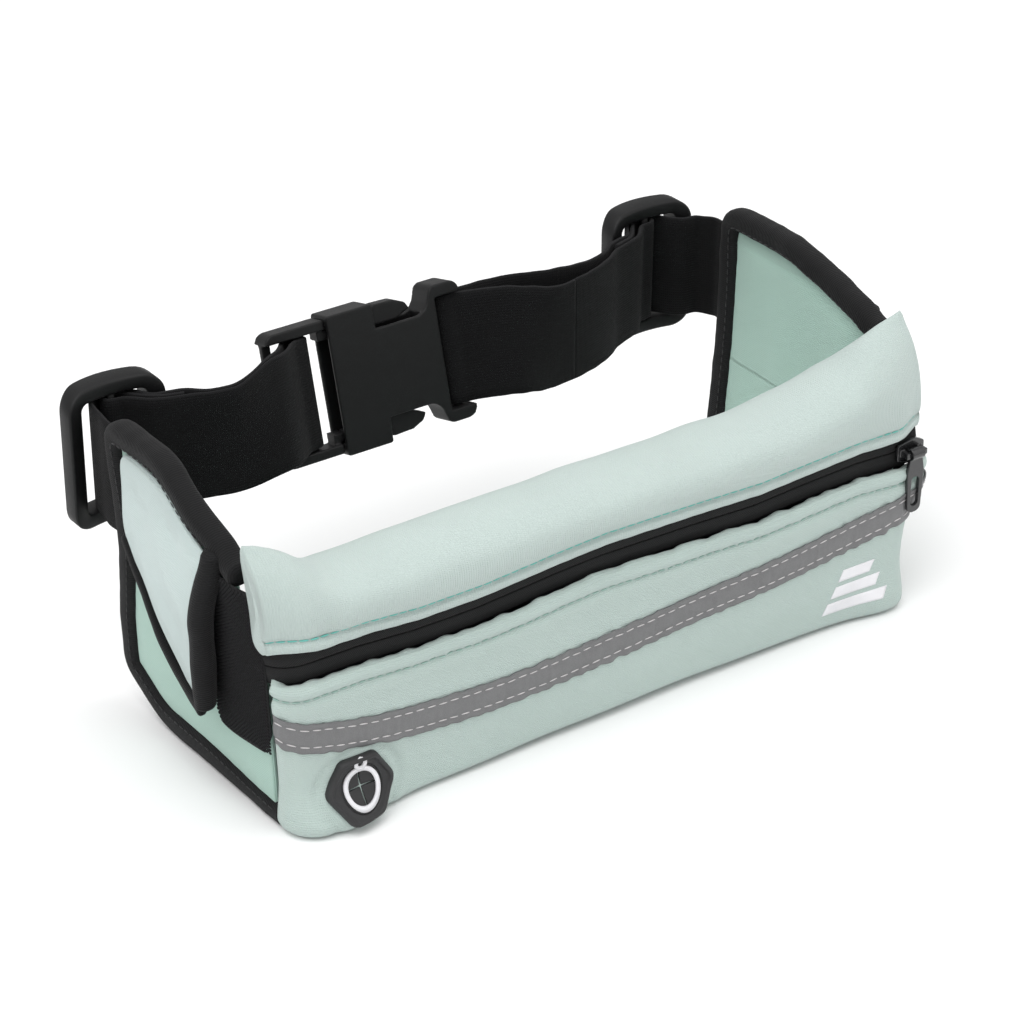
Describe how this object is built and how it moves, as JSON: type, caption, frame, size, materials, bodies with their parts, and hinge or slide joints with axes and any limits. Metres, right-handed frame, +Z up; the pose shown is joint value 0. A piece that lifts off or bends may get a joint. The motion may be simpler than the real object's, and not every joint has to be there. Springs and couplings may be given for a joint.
{
  "type": "waist pack",
  "caption": "Runner's waist pack: padded knit pouch with a front zip, bound wings with slip pockets, and an elastic belt with slide adjusters and a side-release buckle.",
  "frame": {"origin": "centre of the foot print, on the surface the pack stands on", "axes": "+Z up, +X along the pouch towards the slider's rest end, -Y out of the pouch's front"},
  "size_m": [0.2924, 0.1402, 0.1151],
  "materials": {
    "knit": "padded knit",
    "binding": "elastic binding",
    "webbing": "elastic webbing",
    "mesh": "ribbed mesh",
    "lining": "woven",
    "zip_tape": "woven tape",
    "coil": "nylon coil",
    "slider_metal": "gloss black",
    "buckle_plastic": "moulded acetal",
    "reflective": "reflective tape",
    "port_rubber": "soft moulded",
    "print": "printed"
  },
  "bodies": {
    "pack": {"back_panel": "knit", "buckle_plug": "buckle_plastic", "emblem": "print", "front_panel": "knit", "left_mesh_gusset": "mesh", "left_pocket_binding": "binding", "left_pocket_panel": "knit", "left_strap": "webbing", "left_wing_binding": "binding", "left_wing_panel": "knit", "port_grommet": "port_rubber", "port_membrane": "port_rubber", "port_ring": "print", "pouch_lining": "lining", "reflective_strip": "reflective", "right_mesh_gusset": "mesh", "right_pocket_binding": "binding", "right_pocket_panel": "knit", "right_strap": "webbing", "right_wing_binding": "binding", "right_wing_panel": "knit", "top_roll": "knit", "zipper_coil_lower": "coil", "zipper_coil_upper": "coil", "zipper_stop_left": "coil", "zipper_tape_lower": "zip_tape", "zipper_tape_upper": "zip_tape"},
    "slider": {"zipper_slider": "slider_metal"},
    "pull": {"zipper_pull": "slider_metal"},
    "socket": {"buckle_socket": "buckle_plastic"},
    "upper_prong": {"prong_upper": "buckle_plastic"},
    "lower_prong": {"prong_lower": "buckle_plastic"},
    "left_slide": {"left_adjuster": "buckle_plastic"},
    "right_slide": {"right_adjuster": "buckle_plastic"}
  },
  "joints": [
    {"name": "zip_travel", "type": "slide", "parent": "pack", "child": "slider", "axis": [1, 0, 0], "range_m": [-0.235, 0]},
    {"name": "pull_swing", "type": "hinge", "parent": "slider", "child": "pull", "pos_m": [0.12704, -0.06794, 0.0615], "axis": [-1, 0, 0], "range_deg": [0, 150]},
    {"name": "buckle_release", "type": "slide", "parent": "pack", "child": "socket", "axis": [1, 0, 0], "range_m": [0, 0.037], "deforming": ["right_strap", "prong_upper", "prong_lower"]},
    {"name": "prong_upper_squeeze", "type": "hinge", "parent": "pack", "child": "upper_prong", "pos_m": [-0.03596, 0.05643, 0.10463], "axis": [0, 0.9659, -0.2588], "range_deg": [0, 9], "stiffness_Nm_per_rad": 0.3},
    {"name": "prong_lower_squeeze", "type": "hinge", "parent": "pack", "child": "lower_prong", "pos_m": [-0.03596, 0.04699, 0.06937], "axis": [0, -0.9659, 0.2588], "range_deg": [0, 9], "stiffness_Nm_per_rad": 0.3},
    {"name": "left_adjuster_slide", "type": "slide", "parent": "pack", "child": "left_slide", "axis": [1, 0, 0], "range_m": [0, 0.03], "deforming": ["left_strap"]},
    {"name": "right_adjuster_slide", "type": "slide", "parent": "pack", "child": "right_slide", "axis": [-1, 0, 0], "range_m": [0, 0.02], "deforming": ["right_strap"]}
  ]
}
